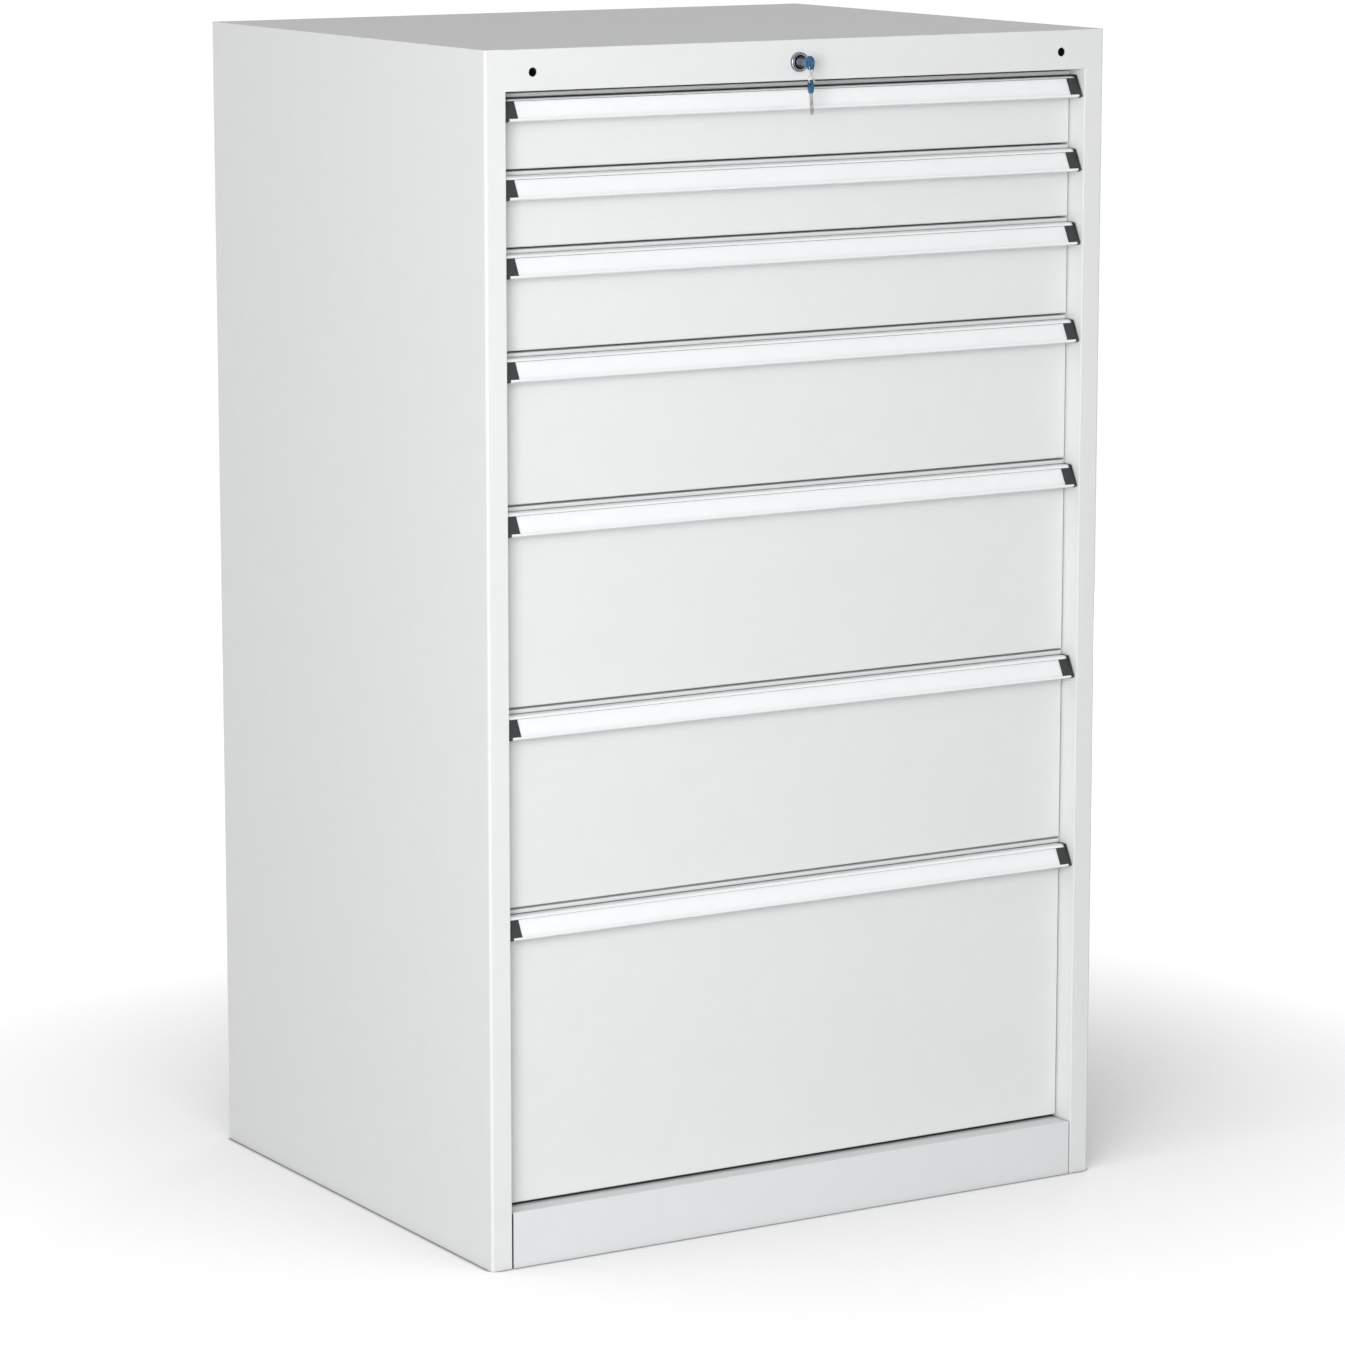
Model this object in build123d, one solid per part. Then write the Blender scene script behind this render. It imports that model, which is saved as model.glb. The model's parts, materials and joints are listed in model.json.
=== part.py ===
from build123d import *
import math
import os

# Floor-standing workshop cabinet with a stack of drawers behind a steel frame, one lock in the header that
# holds every drawer, and a key on a wire loop.  Millimetres.  +Z is up, the drawers open towards -Y, and the
# origin is on the floor at the middle of the whole outline, keys included.

# Carcass
WIDTH = 720.0
DEPTH = 585.0
SHEET = 1.2             # folded carcass sheet
BEND = 3.0              # outside radius of the long corner folds
EDGE_BEND = 1.0         # outside radius of the tight folds on header, plinth and stile returns
STILE = 23.0            # front face of each side panel beside the drawers
STILE_RETURN = 40.0     # how far the stile folds back into the cabinet
REAR_FLANGE = 25.0
FOOT_FLANGE = 30.0
HEADER = 40.0           # height of the front rail above the drawers
HEADER_RETURN = 28.0
TOP_FLANGE = 25.0       # rear edge of the top folded down
FIXING_HOLE = 9.0       # the two holes in the header
FIXING_INSET = 29.5     # those holes in from the edge of the opening
LOCK_DROP = 22.0        # lock and fixing holes below the top face
PLINTH = 57.0           # floor to the top of the plinth ledge
PLINTH_LEDGE = 46.0     # depth of the ledge, front to back
PLINTH_GAP = 1.8        # open joint at each end of the plinth
BASE_LEVEL = 50.0       # underside of the base plate
BASE_FLANGE = 25.0
STACK_CLEAR = 1.0       # plinth ledge to the drawer stack
HEADER_CLEAR = 2.0      # drawer stack to the header

# Slotted uprights that carry the runners
UPRIGHT_SHEET = 1.5
UPRIGHT_WIDTH = 40.0
UPRIGHT_SETBACK = 0.5   # web behind the stile return
UPRIGHT_FRONT = 46.0    # front pair behind the front plane
UPRIGHT_REAR = 85.0     # rear pair in front of the rear plane
SLOT_WIDTH = 6.0
SLOT_HEIGHT = 16.0
SLOT_PITCH = 50.0

# Drawers, from the top down
PITCHES = (75.0, 75.0, 100.0, 150.0, 200.0, 200.0, 300.0)
FRONT_GAP = 2.0         # between one drawer front and the next
FRONT_SIDE_GAP = 1.5
FRONT_RECESS = 24.5     # drawer faces behind the front plane
FRONT_DEPTH = 16.0      # folded depth of a drawer front
FRONT_SHEET = 1.2
FRONT_EDGE = 1.5        # outside radius round the face of a drawer front
FRONT_SIDE_LIP = 23.0
FRONT_END_LIP = 11.0
TRAY_SHEET = 1.0
TRAY_ROOM = 35.5        # behind the trays, for the lock
TRAY_LIFT = 8.0         # underside of the tray above the foot of its pitch
TRAY_SHORT = 25.0       # pitch less the height of the tray walls

# Three-part runners: cabinet rail, middle rail and drawer rail, one inside the next
SLIDE_PACK = 21.5       # upright to tray wall
RAIL_SHEET = 1.5
RAIL_CLEAR = 0.35
RAIL_HEIGHT = 40.0      # cabinet rail
RAIL_LIP = 13.0         # reach of the flanges of cabinet and middle rails
RAIL_START = 48.0       # behind the front plane
RAIL_ROOM = 37.0        # in front of the rear plane
RAIL_LEVEL = 33.0       # middle of the rails above the foot of the pitch

# Handles: a bent extrusion over the full width, with a channel for a label strip
HANDLE_DROP = 3.5       # below the top edge of the drawer front
HANDLE_TOP = 12.0       # corner of the flat top, out from the drawer front
HANDLE_TILT = 27.6      # lean of the face from upright, in degrees
HANDLE_FACE = 23.7      # length of the sloping face
HANDLE_ARC = 3.2        # outside radius between top and face
HANDLE_WALL = 4.0       # face wall, label channel included
HANDLE_WEB = 1.8        # top web and rear flange
HANDLE_FLANGE = 20.0    # height of the rear flange
HANDLE_TIP = 0.8
CHANNEL_START = 3.4     # along the sloping face
CHANNEL_HEIGHT = 18.4
CHANNEL_DEPTH = 2.2
CHANNEL_LIP = 1.0       # thickness of the lips that hold the strip
CHANNEL_UNDERCUT = 0.8
STRIP_THICKNESS = 1.0
STRIP_PLAY = 0.2
CAP_PLATE = 3.6
CAP_BLOCK = 9.6         # black end of the channel, without the plate

# Lock, its rod and the bar that holds the drawers
LOCK_X = -7.0
PLUG_RADIUS = 5.5
PLUG_PROUD = 0.4
LOCK_WALL = 3.0         # housing round the plug
LOCK_BODY_LENGTH = 26.0
ROSETTE_LIP = 1.5       # rosette beyond the hole in the header
ROSETTE_THICKNESS = 3.0
NUT_WALL = 2.5          # nut round the housing, across its flats
NUT_THICKNESS = 4.0
PLUG_LENGTH = 34.0
KEYWAY_DEPTH = 14.0
RUNNING_FIT = 0.075     # radial clearance of turning parts
ROD_RADIUS = 3.0
BEARING_ROOM = 39.0     # rod bearing in front of the rear plane
BEARING_WIDTH = 28.0
BEARING_DROP = 32.0
CRANK_THROW = 11.0      # lift of the locking bar over a quarter turn
CRANK_PIN_RADIUS = 2.0
CRANK_WEB = 4.0
BAR_WIDTH = 24.0
BAR_THICKNESS = 3.0
BAR_CLEAR = 0.4
BAR_TAIL = 12.0         # bar beyond its last hook and its crank slot
SLOT_CLEAR = 0.5        # crank pin in the slot of the bar
HOOK_WIDTH = 14.0
HOOK_THICKNESS = 3.0
HOOK_RISE = 12.0
HOOK_CLEAR = 3.0        # hook below the drawer's lip when unlocked
TAB_LEVEL = 50.0        # top of the drawer's locking tab above the foot of the pitch
TAB_LENGTH = 20.0
TAB_WIDTH = 20.0
TAB_LIP = 12.0
TAB_SHEET = 1.5
GUIDE_LEVEL = 75.0      # strap round the bar, above the foot of the pitch
GUIDE_HEIGHT = 16.0
GUIDE_FOOT = 8.0
GUIDED_DRAWERS = (3, 6)

# Key and the wire loop that hangs from its bow
BOW_RADIUS = 7.0
BOW_THICKNESS = 2.6
BOW_EDGE = 0.6
BOW_OUT = 20.0          # middle of the bow in front of the front plane
BOW_HOLE_RADIUS = 1.5
BOW_HOLE_OFFSET = 2.6   # hole from the middle of the bow, outwards and to one side
BLADE_LENGTH = 20.0     # beyond the bow
BLADE_HEIGHT = 6.6
BLADE_THICKNESS = 1.8
BLADE_CLEAR = 0.2
BLADE_TIP = 1.6
BITE_FIRST = 13.0       # first notch, from the middle of the bow
BITE_STEP = 3.2
BITES = (1.2, 2.0, 0.8, 1.6)
WIRE_RADIUS = 0.5
WIRE_SIDES = 8          # the thin wire is drawn with eight flats
LOOP_SPAN = 11.5        # keeps the loop clear of the top drawer
LOOP_CLEAR = 0.35

# Lines that follow from the sizes above
FRONT = (BOW_OUT + BOW_RADIUS - DEPTH) / 2
BACK = FRONT + DEPTH
HEIGHT = PLINTH + STACK_CLEAR + sum(PITCHES) + HEADER_CLEAR + HEADER
LOCK_Z = HEIGHT - LOCK_DROP
INNER = WIDTH / 2 - SHEET
OPENING = WIDTH / 2 - STILE
UPRIGHT_FACE = OPENING + UPRIGHT_SETBACK
BASE_TOP = BASE_LEVEL + SHEET
BACK_FACE = BACK - 2 * SHEET
DRAWER_FACE = FRONT + FRONT_RECESS
TRAY_FRONT = DRAWER_FACE + FRONT_DEPTH
TRAY_BACK = BACK - TRAY_ROOM
TRAY_HALF = UPRIGHT_FACE - SLIDE_PACK
FRONT_HALF = OPENING - FRONT_SIDE_GAP
HANDLE_HALF = FRONT_HALF - CAP_PLATE
RAIL_FRONT = FRONT + RAIL_START
RAIL_BACK = BACK - RAIL_ROOM
FIXING_X = OPENING - FIXING_INSET
LOCK_BODY_RADIUS = PLUG_RADIUS + LOCK_WALL
ROSETTE_RADIUS = LOCK_BODY_RADIUS + ROSETTE_LIP
NUT_ACROSS = 2 * (LOCK_BODY_RADIUS + NUT_WALL)
BAR_FRONT = BACK_FACE - BAR_CLEAR - BAR_THICKNESS
CRANK_ARM = CRANK_THROW / math.sqrt(2)
PIN_X = LOCK_X - CRANK_THROW / 2
PIN_Z = LOCK_Z - CRANK_THROW / 2
BAR_X = LOCK_X - (CRANK_THROW / 2 + CRANK_ARM) / 2


def foot_of(number):
    """Height of the foot of a drawer's pitch; drawer 1 is the top one."""
    return PLINTH + STACK_CLEAR + sum(PITCHES[number:])


def outline(points):
    """Flat face inside a closed run of points."""
    return make_face(Polyline(*points, close=True))


def block(x, y, z):
    """Box between pairs of limits."""
    size = (x[1] - x[0], y[1] - y[0], z[1] - z[0])
    return Pos((x[0] + x[1]) / 2, (y[0] + y[1]) / 2, (z[0] + z[1]) / 2) * Box(*size)


def along_x(section, start, end):
    """Draw out a section given in (y, z)."""
    plane = Plane(origin=(start, 0, 0), x_dir=(0, 1, 0), z_dir=(1, 0, 0))
    return extrude(plane * section, amount=end - start, dir=(1, 0, 0))


def along_y(section, start, end):
    """Draw out a section given in (x, z)."""
    plane = Plane(origin=(0, start, 0), x_dir=(1, 0, 0), z_dir=(0, -1, 0))
    return extrude(plane * section, amount=end - start, dir=(0, 1, 0))


def along_z(section, start, end):
    """Draw out a section given in (x, y)."""
    return extrude(Pos(0, 0, start) * section, amount=end - start, dir=(0, 0, 1))


def corners_at(shape, points):
    """Corners of a flat face that lie on the given points."""
    found = []
    for corner in shape.vertices():
        if any(math.hypot(corner.X - x, corner.Y - y) < 0.001 for x, y in points):
            found.append(corner)
    return found


def folded(path, thickness, radii=()):
    """Section of a folded sheet.  The path is its outside face, the sheet lies on the left of it, and radii
    holds the outside radius of each fold in turn."""
    steps = [(b[0] - a[0], b[1] - a[1]) for a, b in zip(path, path[1:])]
    lefts = [(-dy / math.hypot(dx, dy), dx / math.hypot(dx, dy)) for dx, dy in steps]
    inside = []
    for place, point in enumerate(path):
        before = lefts[max(place - 1, 0)]
        after = lefts[min(place, len(lefts) - 1)]
        reach = thickness / (1 + before[0] * after[0] + before[1] * after[1])
        inside.append((point[0] + reach * (before[0] + after[0]), point[1] + reach * (before[1] + after[1])))
    section = outline(list(path) + inside[::-1])
    for place, radius in enumerate(radii, 1):
        section = fillet(corners_at(section, [path[place]]), radius)
        if radius > thickness:
            section = fillet(corners_at(section, [inside[place]]), radius - thickness)
    return section


def both_sides(solid):
    """A solid on the right and its mirror image on the left."""
    return [solid, mirror(solid, about=Plane.YZ)]


def save(name, solids):
    """Write one node; a node of several solids keeps them apart."""
    shape = Compound(children=solids) if isinstance(solids, list) else solids
    export_step(shape, "parts/" + name + ".step")


# Side panel: rear flange, side, stile and return folded from one sheet
def side_panel():
    flange_end = (-WIDTH / 2 + REAR_FLANGE, BACK)
    rear_corner = (-WIDTH / 2, BACK)
    front_corner = (-WIDTH / 2, FRONT)
    stile_end = (-OPENING, FRONT)
    return_end = (-OPENING, FRONT + STILE_RETURN)
    shell = [flange_end, rear_corner, front_corner, stile_end]
    panel = along_z(folded(shell + [return_end], SHEET, (BEND, BEND, EDGE_BEND)), 0, HEIGHT - HEADER)
    panel += along_z(folded(shell, SHEET, (BEND, BEND)), HEIGHT - HEADER, HEIGHT)
    foot_y = (FRONT + STILE_RETURN, BACK - REAR_FLANGE)
    panel += block((-INNER - SHEET / 2, -WIDTH / 2 + FOOT_FLANGE), foot_y, (0, SHEET))
    return panel


# Top panel: top sheet between the side panels, header folded down between the stiles, rear edge folded down
def top_panel():
    low, high = FRONT + SHEET, BACK - SHEET
    plate = outline([(-INNER, low), (INNER, low), (INNER, high), (-INNER, high)])
    plate = fillet(plate.vertices(), BEND)
    panel = along_z(plate, HEIGHT - SHEET, HEIGHT)
    header = [
        (FRONT + HEADER_RETURN, HEIGHT),
        (FRONT, HEIGHT),
        (FRONT, HEIGHT - HEADER),
        (FRONT + HEADER_RETURN, HEIGHT - HEADER),
    ]
    panel += along_x(folded(header, SHEET, (EDGE_BEND, EDGE_BEND)), -OPENING, OPENING)
    flange_half = WIDTH / 2 - BEND - SHEET
    panel += block((-flange_half, flange_half), (BACK_FACE, high), (HEIGHT - TOP_FLANGE, HEIGHT))
    bearing_x = (LOCK_X - BEARING_WIDTH / 2, LOCK_X + BEARING_WIDTH / 2)
    bearing_y = (BACK - BEARING_ROOM, BACK - BEARING_ROOM + 2 * SHEET)
    panel += block(bearing_x, bearing_y, (HEIGHT - BEARING_DROP, HEIGHT - SHEET / 2))
    rod_bore = Pos(LOCK_X, LOCK_Z) * Circle(ROD_RADIUS + RUNNING_FIT)
    panel -= along_y(rod_bore, bearing_y[0] - SHEET, bearing_y[1] + SHEET)
    panel -= along_y(Pos(LOCK_X, LOCK_Z) * Circle(LOCK_BODY_RADIUS), FRONT - SHEET, FRONT + 2 * SHEET)
    for x in (-FIXING_X, FIXING_X):
        panel -= along_y(Pos(x, LOCK_Z) * Circle(FIXING_HOLE / 2), FRONT - SHEET, FRONT + 2 * SHEET)
    return panel


# Back panel between the rear flanges of sides and top, with two straps that guide the locking bar
def back_panel():
    half = WIDTH / 2 - BEND - SHEET
    panel = block((-half, half), (BACK_FACE, BACK_FACE + SHEET), (0, HEIGHT - TOP_FLANGE))
    inner = BAR_WIDTH / 2 + BAR_CLEAR
    strap = BAR_FRONT - BAR_CLEAR - SHEET
    for number in GUIDED_DRAWERS:
        path = [
            (BAR_X + inner + SHEET + GUIDE_FOOT, BACK_FACE - SHEET),
            (BAR_X + inner + SHEET, BACK_FACE - SHEET),
            (BAR_X + inner + SHEET, strap),
            (BAR_X - inner - SHEET, strap),
            (BAR_X - inner - SHEET, BACK_FACE - SHEET),
            (BAR_X - inner - SHEET - GUIDE_FOOT, BACK_FACE - SHEET),
        ]
        level = foot_of(number) + GUIDE_LEVEL
        panel += along_z(folded(path[::-1], SHEET), level, level + GUIDE_HEIGHT)
    return panel


# Base plate under the drawers, its long edges folded down against the side panels
def base_panel():
    path = [
        (INNER, BASE_TOP - BASE_FLANGE),
        (INNER, BASE_TOP),
        (-INNER, BASE_TOP),
        (-INNER, BASE_TOP - BASE_FLANGE),
    ]
    return along_y(folded(path, SHEET), FRONT + STILE_RETURN, BACK - BEND)


# Plinth with the ledge under the lowest drawer, its rear edge folded down onto the base plate
def plinth_panel():
    path = [
        (FRONT + PLINTH_LEDGE, BASE_TOP),
        (FRONT + PLINTH_LEDGE, PLINTH),
        (FRONT, PLINTH),
        (FRONT, 0),
    ]
    half = OPENING - PLINTH_GAP
    return along_x(folded(path, SHEET, (EDGE_BEND, EDGE_BEND)), -half, half)


# Slotted uprights: channels that stand on the base plate against the side panels
def runner_uprights():
    solids = []
    for start in (FRONT + UPRIGHT_FRONT, BACK - UPRIGHT_REAR):
        end = start + UPRIGHT_WIDTH
        path = [(INNER, start), (UPRIGHT_FACE, start), (UPRIGHT_FACE, end), (INNER, end)]
        upright = along_z(folded(path[::-1], UPRIGHT_SHEET), BASE_TOP, HEIGHT - SHEET)
        middle = (start + end) / 2
        slot_y = (middle - SLOT_WIDTH / 2, middle + SLOT_WIDTH / 2)
        slot_x = (UPRIGHT_FACE - UPRIGHT_SHEET, UPRIGHT_FACE + 2 * UPRIGHT_SHEET)
        level = BASE_TOP + SLOT_PITCH
        slots = []
        while level + SLOT_PITCH < HEIGHT:
            slots.append(block(slot_x, slot_y, (level, level + SLOT_HEIGHT)))
            level += SLOT_PITCH
        solids += both_sides(upright - slots)
    return solids


# Runner rail on the right: a channel drawn out from front to back, its flanges running from the back to the tips
def channel_rail(back, tips, height, level):
    low, high = level - height / 2, level + height / 2
    first, last = (low, high) if tips < back else (high, low)
    path = [(tips, first), (back, first), (back, last), (tips, last)]
    return along_y(folded(path, RAIL_SHEET), RAIL_FRONT, RAIL_BACK)


MIDDLE_BACK = UPRIGHT_FACE - RAIL_SHEET - RAIL_CLEAR
MIDDLE_HEIGHT = RAIL_HEIGHT - 2 * (RAIL_SHEET + RAIL_CLEAR)
DRAWER_RAIL_HEIGHT = MIDDLE_HEIGHT - 2 * (RAIL_SHEET + RAIL_CLEAR)
DRAWER_RAIL_TIPS = MIDDLE_BACK - RAIL_SHEET - RAIL_CLEAR


def cabinet_rail(number):
    level = foot_of(number) + RAIL_LEVEL
    return channel_rail(UPRIGHT_FACE, UPRIGHT_FACE - RAIL_LIP, RAIL_HEIGHT, level)


def middle_rail(number):
    level = foot_of(number) + RAIL_LEVEL
    return channel_rail(MIDDLE_BACK, MIDDLE_BACK - RAIL_LIP, MIDDLE_HEIGHT, level)


def drawer_rail(number):
    level = foot_of(number) + RAIL_LEVEL
    return channel_rail(TRAY_HALF, DRAWER_RAIL_TIPS, DRAWER_RAIL_HEIGHT, level)


# Drawer tray, open at the top: four walls of flat sheet that stand on a floor
def drawer_tray(number):
    foot = foot_of(number) + TRAY_LIFT
    walls = (foot + TRAY_SHEET, foot + PITCHES[number - 1] - TRAY_SHORT)
    room = TRAY_HALF - TRAY_SHEET
    floor = block((-TRAY_HALF, TRAY_HALF), (TRAY_FRONT, TRAY_BACK), (foot, foot + TRAY_SHEET))
    front = block((-room, room), (TRAY_FRONT, TRAY_FRONT + TRAY_SHEET), walls)
    back = block((-room, room), (TRAY_BACK - TRAY_SHEET, TRAY_BACK), walls)
    side = block((room, TRAY_HALF), (TRAY_FRONT, TRAY_BACK), walls)
    return [floor, front, back, *both_sides(side)]


# Folded tab on the back of a tray, whose lip the locking bar catches
def drawer_tab(number):
    top = foot_of(number) + TAB_LEVEL
    end = TRAY_BACK + TAB_LENGTH
    path = [(end, top - TAB_LIP), (end, top), (TRAY_BACK, top)]
    return along_x(folded(path, TAB_SHEET), BAR_X - TAB_WIDTH / 2, BAR_X + TAB_WIDTH / 2)


# Drawer front: a pan folded back at all four edges, with lips that the tray is fixed to
def drawer_front(number):
    low = foot_of(number) + FRONT_GAP / 2
    high = low + PITCHES[number - 1] - FRONT_GAP
    pan = block((-FRONT_HALF, FRONT_HALF), (DRAWER_FACE, TRAY_FRONT), (low, high))
    face = pan.faces().sort_by(Axis.Y)[0]
    pan = fillet(face.edges(), FRONT_EDGE)
    half = FRONT_HALF - FRONT_SHEET
    hollow_y = (DRAWER_FACE + FRONT_SHEET, TRAY_FRONT - FRONT_SHEET)
    pan -= block((-half, half), hollow_y, (low + FRONT_SHEET, high - FRONT_SHEET))
    half = FRONT_HALF - FRONT_SIDE_LIP
    mouth_z = (low + FRONT_END_LIP, high - FRONT_END_LIP)
    pan -= block((-half, half), (TRAY_FRONT - 2 * FRONT_SHEET, TRAY_FRONT + FRONT_SHEET), mouth_z)
    return pan


# Points on a handle: along the sloping face, and out from it
def face_point(along, out):
    lean = math.radians(HANDLE_TILT)
    forward = HANDLE_TOP + along * math.sin(lean) + out * math.cos(lean)
    height = -along * math.cos(lean) + out * math.sin(lean)
    return (-forward, height)


def face_strip(start, end, inner, outer):
    """Section between two places along the sloping face and two depths."""
    ends = [(start, inner), (end, inner), (end, outer), (start, outer)]
    return outline([face_point(along, out) for along, out in ends])


def handle_corners():
    """Outer corner, tip and inner tip that the handle and its end caps share."""
    return face_point(0, 0), face_point(HANDLE_FACE, 0), face_point(HANDLE_FACE, -HANDLE_WALL)


CHANNEL_END = CHANNEL_START + CHANNEL_HEIGHT


def handle_section():
    corner, tip, inner_tip = handle_corners()
    lean = math.radians(HANDLE_TILT)
    inner_along = (HANDLE_WEB - HANDLE_WALL * math.sin(lean)) / math.cos(lean)
    inner_corner = face_point(inner_along, -HANDLE_WALL)
    section = outline([
        (0, 0),
        corner,
        tip,
        inner_tip,
        inner_corner,
        (-HANDLE_WEB, -HANDLE_WEB),
        (-HANDLE_WEB, -HANDLE_FLANGE),
        (0, -HANDLE_FLANGE),
    ])
    section = fillet(corners_at(section, [corner]), HANDLE_ARC)
    section = fillet(corners_at(section, [tip, inner_tip]), HANDLE_TIP)
    section -= face_strip(CHANNEL_START, CHANNEL_END, -CHANNEL_DEPTH, CHANNEL_LIP)
    wide_start, wide_end = CHANNEL_START - CHANNEL_UNDERCUT, CHANNEL_END + CHANNEL_UNDERCUT
    section -= face_strip(wide_start, wide_end, -CHANNEL_DEPTH, -CHANNEL_LIP)
    return section


def strip_section():
    start = CHANNEL_START - CHANNEL_UNDERCUT + STRIP_PLAY
    end = CHANNEL_END + CHANNEL_UNDERCUT - STRIP_PLAY
    return face_strip(start, end, -CHANNEL_DEPTH, -CHANNEL_DEPTH + STRIP_THICKNESS)


def cap_plate_section():
    corner, tip, inner_tip = handle_corners()
    section = outline([(0, 0), corner, tip, inner_tip, (0, -HANDLE_FLANGE)])
    section = fillet(corners_at(section, [corner]), HANDLE_ARC)
    return fillet(corners_at(section, [tip, inner_tip]), HANDLE_TIP)


def handle_place(number):
    """Top rear edge of a handle, on the face of its drawer front."""
    top = foot_of(number) + PITCHES[number - 1] - FRONT_GAP / 2 - HANDLE_DROP
    return Pos(0, DRAWER_FACE, top)


def handle(number):
    return handle_place(number) * along_x(handle_section(), -HANDLE_HALF, HANDLE_HALF)


def label_strip(number):
    half = HANDLE_HALF - CAP_BLOCK
    return handle_place(number) * along_x(strip_section(), -half, half)


def handle_cap(number):
    cap = along_x(cap_plate_section(), HANDLE_HALF, FRONT_HALF)
    plug = face_strip(CHANNEL_START, CHANNEL_END, -CHANNEL_DEPTH, 0)
    cap += along_x(plug, HANDLE_HALF - CAP_BLOCK, HANDLE_HALF + CAP_PLATE / 2)
    return handle_place(number) * cap


# Lock: housing through the header, nut behind it, plug with a keyway
def round_bar(radius, start, end, x=LOCK_X, z=LOCK_Z):
    return along_y(Pos(x, z) * Circle(radius), start, end)


def lock_housing():
    rosette = round_bar(ROSETTE_RADIUS, FRONT - ROSETTE_THICKNESS, FRONT)
    rim = rosette.faces().sort_by(Axis.Y)[0].edges()
    rosette = chamfer(rim, ROSETTE_THICKNESS / 2)
    housing = rosette + round_bar(LOCK_BODY_RADIUS, FRONT, FRONT + LOCK_BODY_LENGTH)
    bore = round_bar(PLUG_RADIUS + RUNNING_FIT, FRONT - 2 * ROSETTE_THICKNESS, FRONT + 2 * LOCK_BODY_LENGTH)
    return housing - bore


def lock_nut():
    start = FRONT + SHEET
    hexagon = Pos(LOCK_X, LOCK_Z) * RegularPolygon(NUT_ACROSS / 2, 6, major_radius=False)
    nut = along_y(hexagon, start, start + NUT_THICKNESS)
    return nut - round_bar(LOCK_BODY_RADIUS, start - SHEET, start + 2 * NUT_THICKNESS)


PLUG_FRONT = FRONT - ROSETTE_THICKNESS - PLUG_PROUD
PLUG_BACK = PLUG_FRONT + PLUG_LENGTH


def lock_plug():
    plug = round_bar(PLUG_RADIUS, PLUG_FRONT, PLUG_BACK)
    half_x = BLADE_THICKNESS / 2 + BLADE_CLEAR
    half_z = BLADE_HEIGHT / 2 + BLADE_CLEAR
    keyway_y = (PLUG_FRONT - PLUG_PROUD, PLUG_FRONT + KEYWAY_DEPTH)
    return plug - block((LOCK_X - half_x, LOCK_X + half_x), keyway_y, (LOCK_Z - half_z, LOCK_Z + half_z))


# Rod from the plug to a crank at the back, whose pin lifts the locking bar
def lock_rod():
    web_back = BAR_FRONT - CRANK_WEB
    web_front = web_back - CRANK_WEB
    rod = round_bar(ROD_RADIUS, PLUG_BACK, web_back)
    middle = ((LOCK_X + PIN_X) / 2, (LOCK_Z + PIN_Z) / 2)
    web = Pos(*middle) * Rot(0, 0, 45) * SlotCenterToCenter(CRANK_ARM, 2 * ROD_RADIUS)
    rod += along_y(web, web_front, web_back)
    pin = round_bar(CRANK_PIN_RADIUS, web_front, BAR_FRONT + BAR_THICKNESS, PIN_X, PIN_Z)
    return rod + pin


# Folded hook on the locking bar, below the lip of a drawer's tab while unlocked
def hook_top(number):
    return foot_of(number) + TAB_LEVEL - TAB_LIP - HOOK_CLEAR


def locking_hook(number):
    top = hook_top(number)
    low = top - HOOK_RISE - HOOK_THICKNESS
    finger = TRAY_BACK + (TAB_LENGTH - HOOK_THICKNESS) / 2
    path = [(finger, top), (finger, low), (BAR_FRONT, low)]
    return along_x(folded(path, HOOK_THICKNESS), BAR_X - HOOK_WIDTH / 2, BAR_X + HOOK_WIDTH / 2)


# Bar down the back that carries the hooks
def locking_bar():
    half = BAR_WIDTH / 2
    bar_z = (hook_top(len(PITCHES)) - HOOK_RISE - HOOK_THICKNESS - BAR_TAIL, PIN_Z + BAR_TAIL)
    bar_y = (BAR_FRONT, BAR_FRONT + BAR_THICKNESS)
    bar = block((BAR_X - half, BAR_X + half), bar_y, bar_z)
    sweep_half = (CRANK_ARM - CRANK_THROW / 2) / 2 + CRANK_PIN_RADIUS + SLOT_CLEAR
    slot_half = CRANK_PIN_RADIUS + SLOT_CLEAR
    slot_y = (BAR_FRONT - BAR_THICKNESS, BAR_FRONT + 2 * BAR_THICKNESS)
    bar -= block((BAR_X - sweep_half, BAR_X + sweep_half), slot_y, (PIN_Z - slot_half, PIN_Z + slot_half))
    return bar


# Key, drawn flat about the middle of the bow: the blade runs along +x, the hole is up and behind
def key_blade_flat():
    half = BLADE_HEIGHT / 2
    end = BOW_RADIUS + BLADE_LENGTH
    points = [(0, -half), (end - BLADE_TIP, -half), (end, -half + BLADE_TIP), (end, half - BLADE_TIP)]
    points.append((end - BLADE_TIP, half))
    for place in reversed(range(len(BITES))):
        middle = BITE_FIRST + place * BITE_STEP
        points.append((middle + BITE_STEP / 2, half))
        points.append((middle, half - BITES[place]))
    points += [(BITE_FIRST - BITE_STEP / 2, half), (0, half)]
    return extrude(outline(points), amount=BLADE_THICKNESS / 2, both=True)


def key_bow_flat():
    bow = extrude(Circle(BOW_RADIUS), amount=BOW_THICKNESS / 2, both=True)
    bow = chamfer(bow.edges(), BOW_EDGE)
    hole = Pos(-BOW_HOLE_OFFSET, BOW_HOLE_OFFSET) * Circle(BOW_HOLE_RADIUS)
    bow -= extrude(hole, amount=BOW_THICKNESS, both=True)
    return bow - key_blade_flat()


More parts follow.
